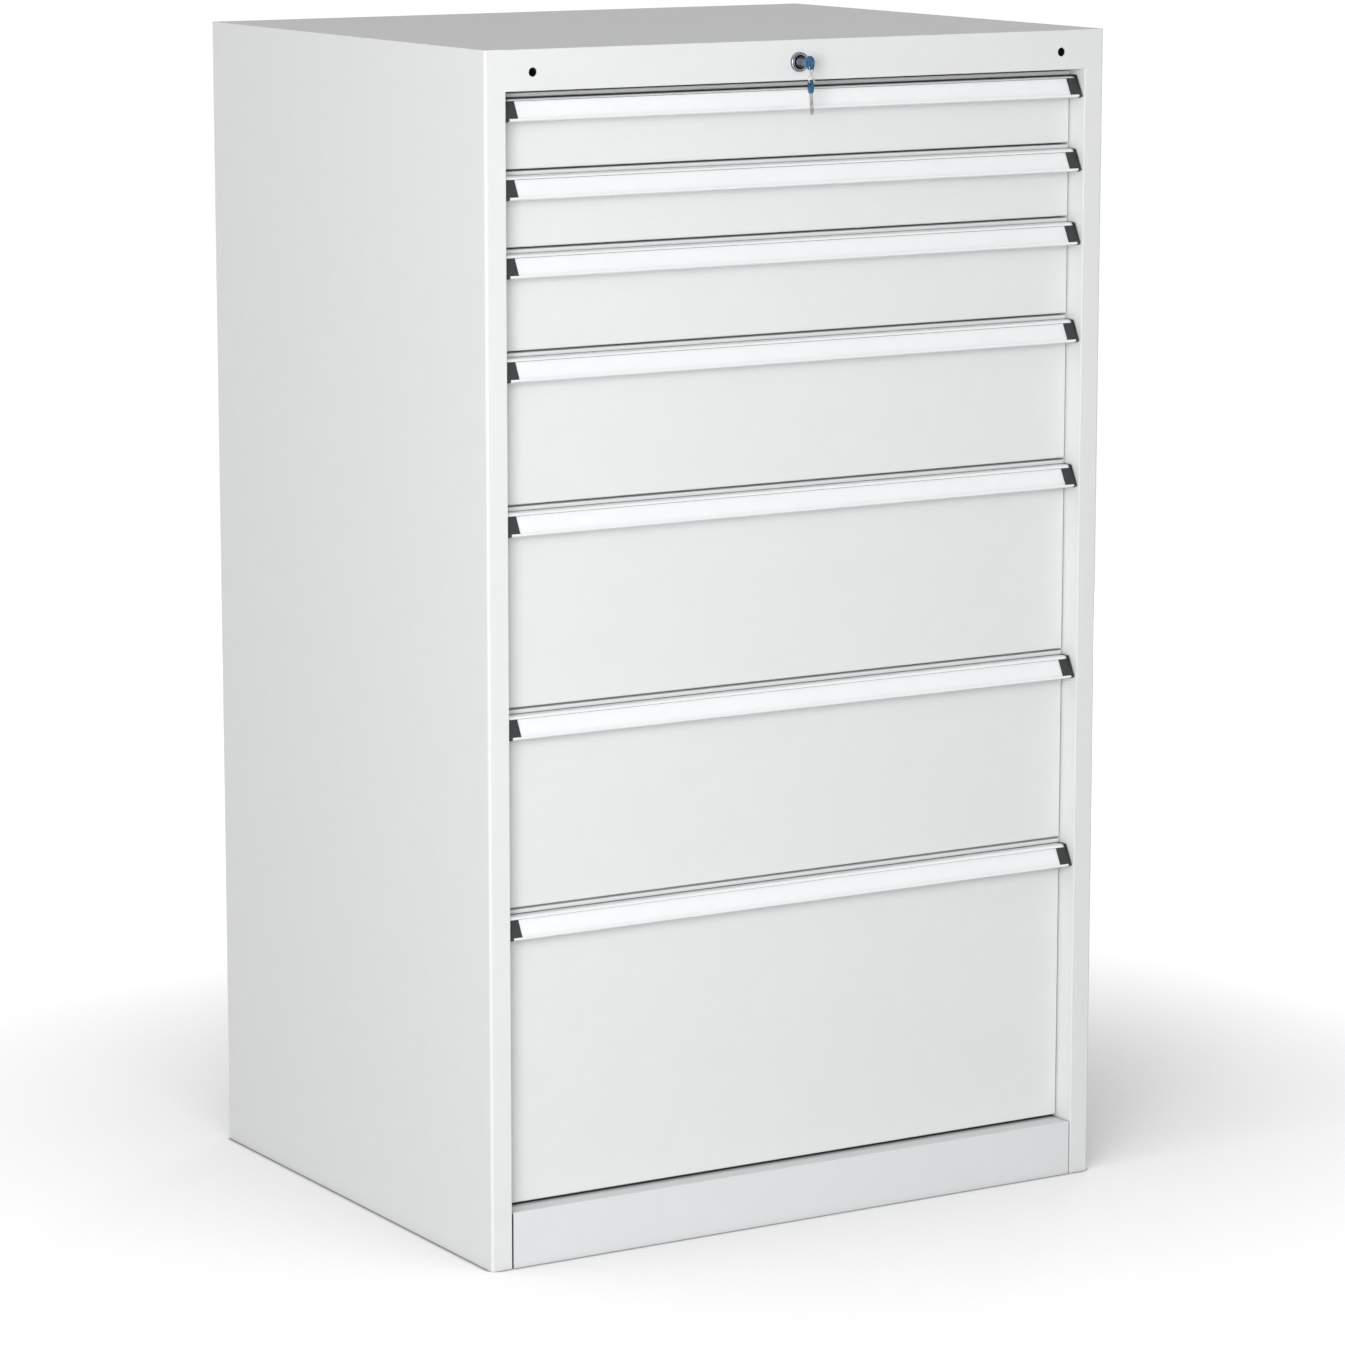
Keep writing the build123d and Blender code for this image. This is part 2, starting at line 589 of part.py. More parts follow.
# The wire loop goes round the rim between the hole and the edge of the bow
RIM_OUT = math.sqrt(BOW_RADIUS ** 2 - BOW_HOLE_OFFSET ** 2)
RIM_IN = BOW_HOLE_OFFSET + BOW_HOLE_RADIUS
RIM_MIDDLE = (RIM_OUT + RIM_IN) / 2
LOOP_RADIUS = math.hypot(BOW_THICKNESS / 2, (RIM_OUT - RIM_IN) / 2) + WIRE_RADIUS + LOOP_CLEAR
KEY_PLACE = Plane(origin=(LOCK_X, FRONT - BOW_OUT, LOCK_Z), x_dir=(0, 1, 0), z_dir=(-1, 0, 0))
LOOP_Y = FRONT - BOW_OUT - BOW_HOLE_OFFSET
LOOP_TOP = LOCK_Z - RIM_MIDDLE


def key_ring():
    low = LOOP_TOP - LOOP_SPAN
    right, left = LOCK_X + LOOP_RADIUS, LOCK_X - LOOP_RADIUS
    crown, foot = (LOCK_X, LOOP_Y, LOOP_TOP + LOOP_RADIUS), (LOCK_X, LOOP_Y, low - LOOP_RADIUS)
    upper = ThreePointArc((right, LOOP_Y, LOOP_TOP), crown, (left, LOOP_Y, LOOP_TOP))
    lower = ThreePointArc((left, LOOP_Y, low), foot, (right, LOOP_Y, low))
    left_leg = Line((left, LOOP_Y, LOOP_TOP), (left, LOOP_Y, low))
    right_leg = Line((right, LOOP_Y, low), (right, LOOP_Y, LOOP_TOP))
    path = Wire([*upper.edges(), *left_leg.edges(), *lower.edges(), *right_leg.edges()])
    start = Plane(origin=(right, LOOP_Y, LOOP_TOP), z_dir=(0, 0, 1))
    return sweep(start * RegularPolygon(WIRE_RADIUS, WIRE_SIDES), path=path)


# Write every node
os.makedirs("parts", exist_ok=True)
left_side = side_panel()
save("side_panel_left", left_side)
save("side_panel_right", mirror(left_side, about=Plane.YZ))
save("top_panel", top_panel())
save("back_panel", back_panel())
save("base_panel", base_panel())
save("plinth_panel", plinth_panel())
save("runner_uprights", runner_uprights())
cabinet_rails = []
for drawer in range(1, len(PITCHES) + 1):
    name = "drawer_" + str(drawer)
    cabinet_rails += both_sides(cabinet_rail(drawer))
    save(name + "_box", [*drawer_tray(drawer), drawer_tab(drawer), *both_sides(drawer_rail(drawer))])
    save(name + "_front", drawer_front(drawer))
    save(name + "_handle", handle(drawer))
    save(name + "_handle_caps", both_sides(handle_cap(drawer)))
    save(name + "_label_strip", label_strip(drawer))
    save(name + "_middle_rails", both_sides(middle_rail(drawer)))
save("cabinet_rails", cabinet_rails)
save("lock_housing", lock_housing())
save("lock_nut", lock_nut())
save("lock_plug", lock_plug())
save("lock_rod", lock_rod())
save("locking_bar", [locking_bar(), *[locking_hook(number) for number in range(1, len(PITCHES) + 1)]])
save("key_blade", KEY_PLACE * key_blade_flat())
save("key_bow", KEY_PLACE * key_bow_flat())
save("key_ring", key_ring())
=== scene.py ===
import json
import math

import bmesh
import bpy
from mathutils import Matrix, Vector


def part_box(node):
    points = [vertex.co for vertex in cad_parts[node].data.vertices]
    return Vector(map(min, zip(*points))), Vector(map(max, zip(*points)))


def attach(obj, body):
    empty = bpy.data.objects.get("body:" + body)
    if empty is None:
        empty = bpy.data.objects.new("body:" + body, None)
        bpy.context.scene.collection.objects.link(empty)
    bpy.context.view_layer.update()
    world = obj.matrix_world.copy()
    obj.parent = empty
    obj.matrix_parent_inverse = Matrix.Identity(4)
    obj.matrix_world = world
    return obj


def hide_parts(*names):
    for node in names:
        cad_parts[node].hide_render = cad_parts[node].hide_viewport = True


# Looks of a floor-standing workshop cabinet with seven drawers.  Metres, in the part's own frame.

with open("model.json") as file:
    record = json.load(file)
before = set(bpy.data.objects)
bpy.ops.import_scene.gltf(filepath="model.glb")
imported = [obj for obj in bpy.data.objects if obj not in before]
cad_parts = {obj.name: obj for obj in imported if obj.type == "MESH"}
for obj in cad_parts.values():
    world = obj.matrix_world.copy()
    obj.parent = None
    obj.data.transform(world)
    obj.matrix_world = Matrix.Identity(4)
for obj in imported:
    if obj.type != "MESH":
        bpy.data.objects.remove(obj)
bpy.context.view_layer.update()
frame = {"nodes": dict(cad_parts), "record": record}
nodes = frame["nodes"]
scene = bpy.context.scene

MM = 0.001
EAST, NORTH, UP = Vector((1, 0, 0)), Vector((0, 1, 0)), Vector((0, 0, 1))
DRAWERS = range(1, 8)
SHARP_EDGE = math.radians(35)   # flatter edges are shaded smooth

# Drawer trays, as in the solids, with the slots and the rim that they lack
TRAY_HALF = 316 * MM
TRAY_BACK = 270.5 * MM
TRAY_SHEET = 1.0 * MM
TRAY_SLOT = 3.0 * MM
TRAY_SLOT_PITCH = 25 * MM
TRAY_SLOT_BAND = 12 * MM        # plain sheet below and above the slots
RIM_WIDTH = 3.2 * MM
RIM_HEIGHT = 6.0 * MM
TAB_MIDDLE = -13.6 * MM
TAB_WIDTH = 20 * MM
TAB_END = 290.5 * MM
TAB_LIP = 12 * MM
TAB_LEVEL = 42 * MM             # top of the locking tab above the underside of the tray
TAB_SHEET = 1.5 * MM
RAIL_LEVEL = 25 * MM            # middle of the drawer rails above the underside of the tray
RAIL_HALF = 16.3 * MM
RAIL_TIP = 333.8 * MM
RAIL_FRONT = -231 * MM
RAIL_BACK = 269 * MM
RAIL_SHEET = 1.5 * MM
RAIL_ROLL = 1.2 * MM            # rolled edge along the tips of the rails

# Lock.  The rosette's profile is radius and distance behind the header's face in millimetres, from the bore
# over the dish, the rim and its groove to the edge.
LOCK_MIDDLE = -7 * MM
LOCK_PLACE = Vector((LOCK_MIDDLE, -279 * MM, 1178 * MM))
ROSETTE = [
    (5.6, -0.8), (7.4, -3.0), (7.7, -3.1), (8.1, -3.0), (8.3, -2.3), (8.6, -2.3),
    (8.8, -2.6), (9.3, -2.4), (9.8, -1.7), (10.0, -0.8), (10.0, 0.0), (8.5, 0.0),
]
LOCK_BORE = 5.6 * MM
LOCK_LENGTH = 26 * MM
LOCK_TIP = 8.3 * MM             # radius at the end of the body
THREAD_CREST = 8.5 * MM
THREAD_ROOT = 8.1 * MM
THREAD_PITCH = 1.4 * MM
THREAD_TURNS = 16

# Wire loop and the spare key that hangs on it
KEY_HOLE = Vector((LOCK_MIDDLE, -301.6 * MM, 1175.4 * MM))
HOLE_PLAY = 1.0 * MM            # the hole of the spare key hangs that much below the wire
SPARE_TURN = math.radians(-100.4)       # from the key in the lock down to the spare key
SPARE_YAW = math.radians(-14)           # the spare key twists that far about the plumb line
WIRE_RADIUS = 0.5 * MM
WIRE_NECK = 0.6 * MM            # half the distance between the strands where they are pinched together
WIRE_STEPS = 24                 # along an eye or a strand
WIRE_CORNERS = 10               # round the wire

# Rivets of the back panel.  The dome's profile is shares of radius and height.
RIVET_RADIUS = 3.2 * MM
RIVET_HEIGHT = 1.3 * MM
RIVET_DOME = [(0.1, 0.0), (1.0, 0.0), (0.9, 0.45), (0.6, 0.85), (0.1, 1.0)]
RIVET_CORNERS = 20
RIVET_INSET = 13 * MM           # from the sides of the cabinet
RIVET_MARGIN = 26 * MM          # from the ends of the back panel
RIVET_ROWS = 7

# Camera, fitted to the corners of the cabinet in the photograph
CAMERA_PLACE = Vector((-2.762, -4.6105, 1.496))
CAMERA_HEADING = math.radians(31.07)    # from +Y towards +X
CAMERA_PITCH = math.radians(-10.37)
CAMERA_LENS = 136.8                     # millimetres
CAMERA_SENSOR = 36.0                    # millimetres, the long side of the picture
CAMERA_REACH = 100.0

# Studio light
KEY_PLACE = Vector((-2.6, -3.1, 1.35))
KEY_AIM = Vector((0.0, 0.0, 0.8))
KEY_SIZE = 1.8
KEY_POWER = 100.0
FILL_PLACE = Vector((2.9, 2.5, 0.7))    # for the sides that the key lamp leaves dark
FILL_AIM = Vector((0.0, 0.0, 0.7))
FILL_SIZE = 0.9
FILL_POWER = 34.0
SKY_HORIZON = 1.05                      # strength of the sky's light
SKY_TOP = 0.11
BACKDROP_STRENGTH = 1.0
FLOOR_SIZE = 120.0
LIT_SPOT = Vector((-0.6, -0.8, 0.0))    # where the key lamp's light falls on the floor
LIT_NEAR, LIT_FAR = 0.5, 3.0            # distances from there
GLOW_NEAR, GLOW_FAR = 0.60, 0.78        # what the floor adds at those distances to read as white paper
SHADOW_REACH = 0.75                     # how far from the cabinet its soft shadow takes glow away
SHADOW_DEPTH = 1.9                      # how fast the glow goes towards the cabinet
SHADOW_LEAN = Vector((-0.45, -0.45, 0.77))      # towards the side that the soft light comes from
CONTACT_REACH = 12 * MM                 # width of the painted contact shadow where the cabinet stands on the floor

# Colours, as sRGB
PAINT_DARK, PAINT_LIGHT = "#e4e6e5", "#e5e7e6"
PLINTH_DARK, PLINTH_LIGHT = "#e0e2e3", "#e1e3e4"
# painted shade on the plinth's ledge under the lowest drawer front
LEDGE_SHADE_COLOUR = "#4a4745"
ZINC_DARK, ZINC_LIGHT = "#a9adb1", "#c3c7ca"
# the dark aluminium tone is painted shade in the pull's inner corner
ALUMINIUM_CORNER_SHADE, ALUMINIUM_LIGHT = "#1b1c1e", "#f2f4f6"
# the darker black is painted shade in the corners of the caps
BLACK_CORNER_SHADE, BLACK_LIGHT = "#070808", "#303333"
LABEL_DARK, LABEL_LIGHT = "#f5f6f8", "#f7f8fa"
# chrome: the dark tone is painted shade in the groove, the light one is painted dim for dark reflections
CHROME_GROOVE_SHADE, CHROME_DARK_REFLECTION_TONE = "#1c1e20", "#9da1a5"
# painted dark and bluish on the lock plug as a stand-in for shade and reflection
PLUG_DARK, PLUG_LIGHT = "#333d47", "#46525e"
NICKEL_DARK, NICKEL_LIGHT = "#98968f", "#cfcdc8"
BLUE_DARK, BLUE_LIGHT = "#0b4a76", "#115885"
PAPER_DARK, PAPER_LIGHT = "#cdcdcd", "#d0d0d0"
# painted contact shadow round the foot of the cabinet
CONTACT_SHADOW_COLOUR = "#5a5a5c"
BACKDROP = "#ffffff"

# Sizes of surface patterns.  Marks that are finer on the real thing are drawn this coarse so that they show.
PAINT_CLOUD = 30 * MM
PAINT_PEEL = 3.0 * MM                   # real dimples are about 1.5 mm wide
ZINC_CLOUD = 14 * MM
ROLLING_MARKS = (1.5 * MM, 37 * MM)     # width and length; real ones are about 0.3 mm wide
DRAWING_LINES = (0.9 * MM, 90 * MM)     # real ones are about 0.1 mm wide
ERODED_GRAIN = 1.2 * MM                 # real pits are about 0.1 mm wide
CARD_CLOUD = 25 * MM
FILM_WAVES = (18 * MM, 60 * MM)
HAIRLINES = (0.4 * MM, 5 * MM)          # real ones are about 0.02 mm wide
TURNING_MARKS = 0.3 * MM                # real ones are about 0.05 mm wide
BRUSHING = (0.3 * MM, 3 * MM)           # real marks are about 0.05 mm wide
FLOW_MARKS = 4 * MM
PAPER_FIBRES = 4 * MM                   # real fibres are about 0.5 mm long
NOISE_SPAN = dict(From_Min=0.35, From_Max=0.65)     # where most values of a noise lie

# How far around a spot a neighbouring face casts painted shade on it
CORNER_SHADE = 10 * MM
CAP_SHADE = 12 * MM
GROOVE_SHADE = 3 * MM
LEDGE_SHADE = 12 * MM


# Materials
def linear(colour):
    """Linear colour of an sRGB hex code."""
    levels = []
    for place in (1, 3, 5):
        level = int(colour[place:place + 2], 16) / 255
        levels.append(level / 12.92 if level <= 0.04045 else ((level + 0.055) / 1.055) ** 2.4)
    return levels + [1.0]


def add_node(tree, kind, **values):
    """Add a shader node and return its outputs by name.

    Values in small letters are the node's settings.  The others go into its inputs, and an output is linked.
    """
    node = tree.nodes.new("ShaderNode" + kind)
    for name, value in values.items():
        if name.islower():
            setattr(node, name, value)
    inputs = {socket.identifier.replace(" ", "_"): socket for socket in node.inputs}
    for name, value in values.items():
        if isinstance(value, bpy.types.NodeSocket):
            tree.links.new(value, inputs[name])
        elif not name.islower():
            inputs[name].default_value = value
    return {socket.identifier.replace(" ", "_"): socket for socket in node.outputs}


def new_material(name):
    """An empty material and its node tree."""
    material = bpy.data.materials.new(name)
    material.use_nodes = True
    material.node_tree.nodes.clear()
    return material, material.node_tree


def across_and_along(width, length, axis):
    """Scale of a pattern whose marks are that wide and run that long along an axis, 0 for X to 2 for Z."""
    return [1 / length if place == axis else 1 / width for place in range(3)]


# Powder-coated steel: light grey and nearly matt, with a slight change of tone and the orange peel of baked
# powder.  On the plinth it is drawn a little darker and cooler, and painted shade darkens the ledge under
# the lowest front.
def powder_coated_steel(name, dark, light, ledge_shade_colour=None):
    material, tree = new_material(name)
    place = add_node(tree, "TexCoord")["Object"]
    cloud = add_node(tree, "TexNoise", Vector=place, Scale=1 / PAINT_CLOUD)["Fac"]
    share = add_node(tree, "MapRange", Value=cloud, **NOISE_SPAN)["Result"]
    tones = dict(A_Color=linear(dark), B_Color=linear(light))
    colour = add_node(tree, "Mix", data_type="RGBA", Factor_Float=share, **tones)["Result_Color"]
    # Painted shade: upward faces turn dark where the drawer front above closes them in
    if ledge_shade_colour:
        free = add_node(tree, "AmbientOcclusion", Distance=LEDGE_SHADE)["AO"]
        lit = add_node(tree, "MapRange", Value=free, From_Min=0.15, From_Max=0.95)["Result"]
        normal = add_node(tree, "NewGeometry")["Normal"]
        upward = add_node(tree, "SeparateXYZ", Vector=normal)["Z"]
        upright = add_node(tree, "Math", operation="SUBTRACT", Value=1.0, Value_001=upward)["Value"]
        clear = add_node(tree, "Math", operation="MAXIMUM", Value=lit, Value_001=upright)["Value"]
        shades = dict(A_Color=linear(ledge_shade_colour), B_Color=colour)
        colour = add_node(tree, "Mix", data_type="RGBA", Factor_Float=clear, **shades)["Result_Color"]
    peel = add_node(tree, "TexNoise", Vector=place, Scale=1 / PAINT_PEEL)["Fac"]
    roughness = add_node(tree, "MapRange", Value=peel, To_Min=0.38, To_Max=0.5)["Result"]
    dimples = add_node(tree, "Bump", Height=peel, Distance=0.1 * MM, Strength=0.15)["Normal"]
    surface = dict(Base_Color=colour, Roughness=roughness, Specular_IOR_Level=0.08, Normal=dimples)
    shader = add_node(tree, "BsdfPrincipled", **surface)
    add_node(tree, "OutputMaterial", Surface=shader["BSDF"])
    return material


# Zinc-plated steel: cool grey metal, cloudy, with long rolling marks
def zinc_plated_steel():
    material, tree = new_material("zinc_plated_steel")
    place = add_node(tree, "TexCoord")["Object"]
    cloud = add_node(tree, "TexNoise", Vector=place, Scale=1 / ZINC_CLOUD)["Fac"]
    share = add_node(tree, "MapRange", Value=cloud, **NOISE_SPAN)["Result"]
    tones = dict(A_Color=linear(ZINC_DARK), B_Color=linear(ZINC_LIGHT))
    colour = add_node(tree, "Mix", data_type="RGBA", Factor_Float=share, **tones)["Result_Color"]
    drawn = add_node(tree, "Mapping", Vector=place, Scale=across_and_along(*ROLLING_MARKS, 1))["Vector"]
    rolling = add_node(tree, "TexNoise", Vector=drawn, Scale=1.0)["Fac"]
    roughness = add_node(tree, "MapRange", Value=rolling, To_Min=0.3, To_Max=0.46)["Result"]
    furrows = add_node(tree, "Bump", Height=rolling, Distance=0.02 * MM, Strength=0.4)["Normal"]
    surface = dict(Base_Color=colour, Metallic=1.0, Roughness=roughness, Normal=furrows)
    shader = add_node(tree, "BsdfPrincipled", **surface)
    add_node(tree, "OutputMaterial", Surface=shader["BSDF"])
    return material


# Anodised aluminium: pale satin metal with faint drawing lines, and painted shade that leaves it dark and
# dull along its inner corner
def anodised_aluminium():
    material, tree = new_material("anodised_aluminium")
    place = add_node(tree, "TexCoord")["Object"]
    # Painted shade: dark and less metallic where neighbouring faces close the surface in
    free = add_node(tree, "AmbientOcclusion", Distance=CORNER_SHADE)["AO"]
    corner_span = dict(From_Min=0.7, From_Max=0.92)
    share = add_node(tree, "MapRange", Value=free, **corner_span)["Result"]
    tones = dict(A_Color=linear(ALUMINIUM_CORNER_SHADE), B_Color=linear(ALUMINIUM_LIGHT))
    colour = add_node(tree, "Mix", data_type="RGBA", Factor_Float=share, **tones)["Result_Color"]
    metal = add_node(tree, "MapRange", Value=free, To_Max=0.5, **corner_span)["Result"]
    drawn = add_node(tree, "Mapping", Vector=place, Scale=across_and_along(*DRAWING_LINES, 0))["Vector"]
    lines = add_node(tree, "TexNoise", Vector=drawn, Scale=1.0)["Fac"]
    roughness = add_node(tree, "MapRange", Value=lines, To_Min=0.28, To_Max=0.38)["Result"]
    furrows = add_node(tree, "Bump", Height=lines, Distance=0.01 * MM, Strength=0.3)["Normal"]
    surface = dict(Base_Color=colour, Metallic=metal, Roughness=roughness, Specular_IOR_Level=0.2)
    shader = add_node(tree, "BsdfPrincipled", Normal=furrows, **surface)
    add_node(tree, "OutputMaterial", Surface=shader["BSDF"])
    return material


# Black ABS: moulded with a fine eroded grain that keeps it half matt, and painted shade that makes it
# blacker in its corners
def black_abs():
    material, tree = new_material("black_abs")
    place = add_node(tree, "TexCoord")["Object"]
    # Painted shade: blacker where neighbouring faces close the surface in
    free = add_node(tree, "AmbientOcclusion", Distance=CAP_SHADE)["AO"]
    share = add_node(tree, "MapRange", Value=free, From_Min=0.5, From_Max=0.9)["Result"]
    tones = dict(A_Color=linear(BLACK_CORNER_SHADE), B_Color=linear(BLACK_LIGHT))
    colour = add_node(tree, "Mix", data_type="RGBA", Factor_Float=share, **tones)["Result_Color"]
    pits = add_node(tree, "TexNoise", Vector=place, Scale=1 / ERODED_GRAIN)["Fac"]
    roughness = add_node(tree, "MapRange", Value=pits, To_Min=0.4, To_Max=0.6)["Result"]
    grain = add_node(tree, "Bump", Height=pits, Distance=0.03 * MM, Strength=0.5)["Normal"]
    surface = dict(Base_Color=colour, Roughness=roughness, Specular_IOR_Level=0.4, Normal=grain)
    shader = add_node(tree, "BsdfPrincipled", **surface)
    add_node(tree, "OutputMaterial", Surface=shader["BSDF"])
    return material


# Label card under clear film: cool white with a soft gloss and the faint waves of the film
def filmed_card():
    material, tree = new_material("filmed_label_card")
    place = add_node(tree, "TexCoord")["Object"]
    cloud = add_node(tree, "TexNoise", Vector=place, Scale=1 / CARD_CLOUD)["Fac"]
    share = add_node(tree, "MapRange", Value=cloud, **NOISE_SPAN)["Result"]
    tones = dict(A_Color=linear(LABEL_DARK), B_Color=linear(LABEL_LIGHT))
    colour = add_node(tree, "Mix", data_type="RGBA", Factor_Float=share, **tones)["Result_Color"]
    drawn = add_node(tree, "Mapping", Vector=place, Scale=across_and_along(*FILM_WAVES, 0))["Vector"]
    waves = add_node(tree, "TexNoise", Vector=drawn, Scale=1.0)["Fac"]
    roughness = add_node(tree, "MapRange", Value=waves, To_Min=0.4, To_Max=0.52)["Result"]
    swell = add_node(tree, "Bump", Height=waves, Distance=0.1 * MM, Strength=0.3)["Normal"]
    film = dict(Coat_Weight=0.25, Coat_Roughness=0.12)
    shader = add_node(tree, "BsdfPrincipled", Base_Color=colour, Roughness=roughness, Normal=swell, **film)
    add_node(tree, "OutputMaterial", Surface=shader["BSDF"])
    return material


# Chrome on the lock: a mirror with hairlines from polishing.  Its tone is painted dim as a stand-in for dark
# reflections, and painted shade makes it nearly black in the groove
def chrome():
    material, tree = new_material("chrome")
    place = add_node(tree, "TexCoord")["Object"]
    # Painted shade: nearly black where neighbouring faces close the groove in
    free = add_node(tree, "AmbientOcclusion", Distance=GROOVE_SHADE)["AO"]
    share = add_node(tree, "MapRange", Value=free, From_Min=0.5, From_Max=0.95)["Result"]
    tones = dict(A_Color=linear(CHROME_GROOVE_SHADE), B_Color=linear(CHROME_DARK_REFLECTION_TONE))
    colour = add_node(tree, "Mix", data_type="RGBA", Factor_Float=share, **tones)["Result_Color"]
    drawn = add_node(tree, "Mapping", Vector=place, Scale=across_and_along(*HAIRLINES, 2))["Vector"]
    hairlines = add_node(tree, "TexNoise", Vector=drawn, Scale=1.0)["Fac"]
    roughness = add_node(tree, "MapRange", Value=hairlines, To_Min=0.06, To_Max=0.16)["Result"]
    scratches = add_node(tree, "Bump", Height=hairlines, Distance=0.003 * MM, Strength=0.3)["Normal"]
    surface = dict(Base_Color=colour, Metallic=1.0, Roughness=roughness, Normal=scratches)
    shader = add_node(tree, "BsdfPrincipled", **surface)
    add_node(tree, "OutputMaterial", Surface=shader["BSDF"])
    return material


# Lock plug: steel with fine turning marks, painted dark and bluish as a stand-in for shade and reflection
def burnished_steel():
    material, tree = new_material("burnished_steel")
    place = add_node(tree, "TexCoord")["Object"]
    marks = add_node(tree, "TexNoise", Vector=place, Scale=1 / TURNING_MARKS)["Fac"]
    share = add_node(tree, "MapRange", Value=marks, **NOISE_SPAN)["Result"]
    tones = dict(A_Color=linear(PLUG_DARK), B_Color=linear(PLUG_LIGHT))
    colour = add_node(tree, "Mix", data_type="RGBA", Factor_Float=share, **tones)["Result_Color"]
    roughness = add_node(tree, "MapRange", Value=marks, To_Min=0.16, To_Max=0.3)["Result"]
    furrows = add_node(tree, "Bump", Height=marks, Distance=0.004 * MM, Strength=0.4)["Normal"]
    surface = dict(Base_Color=colour, Metallic=1.0, Roughness=roughness, Normal=furrows)
    shader = add_node(tree, "BsdfPrincipled", **surface)
    add_node(tree, "OutputMaterial", Surface=shader["BSDF"])
    return material


# Nickel-plated brass of key blades and wire: warm grey, brushed along the blade
def nickel_plated_brass():
    material, tree = new_material("nickel_plated_brass")
    place = add_node(tree, "TexCoord")["Object"]
    drawn = add_node(tree, "Mapping", Vector=place, Scale=across_and_along(*BRUSHING, 1))["Vector"]
    brushing = add_node(tree, "TexNoise", Vector=drawn, Scale=1.0)["Fac"]
    share = add_node(tree, "MapRange", Value=brushing, **NOISE_SPAN)["Result"]
    tones = dict(A_Color=linear(NICKEL_DARK), B_Color=linear(NICKEL_LIGHT))
    colour = add_node(tree, "Mix", data_type="RGBA", Factor_Float=share, **tones)["Result_Color"]
    roughness = add_node(tree, "MapRange", Value=brushing, To_Min=0.2, To_Max=0.34)["Result"]
    furrows = add_node(tree, "Bump", Height=brushing, Distance=0.004 * MM, Strength=0.4)["Normal"]
    surface = dict(Base_Color=colour, Metallic=1.0, Roughness=roughness, Normal=furrows)
    shader = add_node(tree, "BsdfPrincipled", **surface)
    add_node(tree, "OutputMaterial", Surface=shader["BSDF"])
    return material


# Blue ABS of the key bows: glossy moulding with slight flow marks
def blue_abs():
    material, tree = new_material("blue_abs")
    place = add_node(tree, "TexCoord")["Object"]
    flow = add_node(tree, "TexNoise", Vector=place, Scale=1 / FLOW_MARKS)["Fac"]
    share = add_node(tree, "MapRange", Value=flow, **NOISE_SPAN)["Result"]
    tones = dict(A_Color=linear(BLUE_DARK), B_Color=linear(BLUE_LIGHT))
    colour = add_node(tree, "Mix", data_type="RGBA", Factor_Float=share, **tones)["Result_Color"]
    roughness = add_node(tree, "MapRange", Value=flow, To_Min=0.22, To_Max=0.34)["Result"]
    swell = add_node(tree, "Bump", Height=flow, Distance=0.03 * MM, Strength=0.2)["Normal"]
    surface = dict(Base_Color=colour, Roughness=roughness, Specular_IOR_Level=0.35, Normal=swell)
    shader = add_node(tree, "BsdfPrincipled", **surface)
    add_node(tree, "OutputMaterial", Surface=shader["BSDF"])
    return material


FINISHES = {
    "painted_steel": powder_coated_steel("powder_coated_steel", PAINT_DARK, PAINT_LIGHT),
    "plinth_steel": powder_coated_steel("powder_coated_plinth", PLINTH_DARK, PLINTH_LIGHT, LEDGE_SHADE_COLOUR),
    "zinc_steel": zinc_plated_steel(),
    "handle_aluminium": anodised_aluminium(),
    "black_plastic": black_abs(),
    "label_card": filmed_card(),
    "chrome": chrome(),
    "key_metal": nickel_plated_brass(),
    "blue_plastic": blue_abs(),
    "plug_steel": burnished_steel(),
}


def paint(piece, slot):
    """Give a piece one of the finishes, most of which are named for the record's material slots."""
    piece.data.materials.clear()
    piece.data.materials.append(FINISHES[slot])


for part in frame["record"]["subparts"]:
    paint(nodes[part["node"]], part["material_slot"])
paint(nodes["lock_plug"], "plug_steel")
paint(nodes["plinth_panel"], "plinth_steel")


# Mesh helpers
def add_piece(name, mesh, slot, body):
    """Set a mesh down as a piece that has the finish of a slot and moves with a body."""
    piece = bpy.data.objects.new(name, mesh)
    scene.collection.objects.link(piece)
    paint(piece, slot)
    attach(piece, body)
    return piece


def finished(name, shape):
    """Mesh of a finished shape, smooth except over its sharp edges."""
    bmesh.ops.recalc_face_normals(shape, faces=shape.faces)
    for face in shape.faces:
        face.smooth = True
    mesh = bpy.data.meshes.new(name)
    shape.to_mesh(mesh)
    shape.free()
    mesh.set_sharp_from_angle(angle=SHARP_EDGE)
    return mesh


def loft(shape, rings, closed=False):
    """Skin over rings of points; the ends are capped unless the last ring goes on to the first."""
    corners = [[shape.verts.new(point) for point in ring] for ring in rings]
    following = corners[1:] + corners[:1] if closed else corners[1:]
    for here, there in zip(corners, following):
        for place in range(len(here)):
            after = (place + 1) % len(here)
            shape.faces.new((here[place], there[place], there[after], here[after]))
    if not closed:
        shape.faces.new(corners[0])
        shape.faces.new(corners[-1])


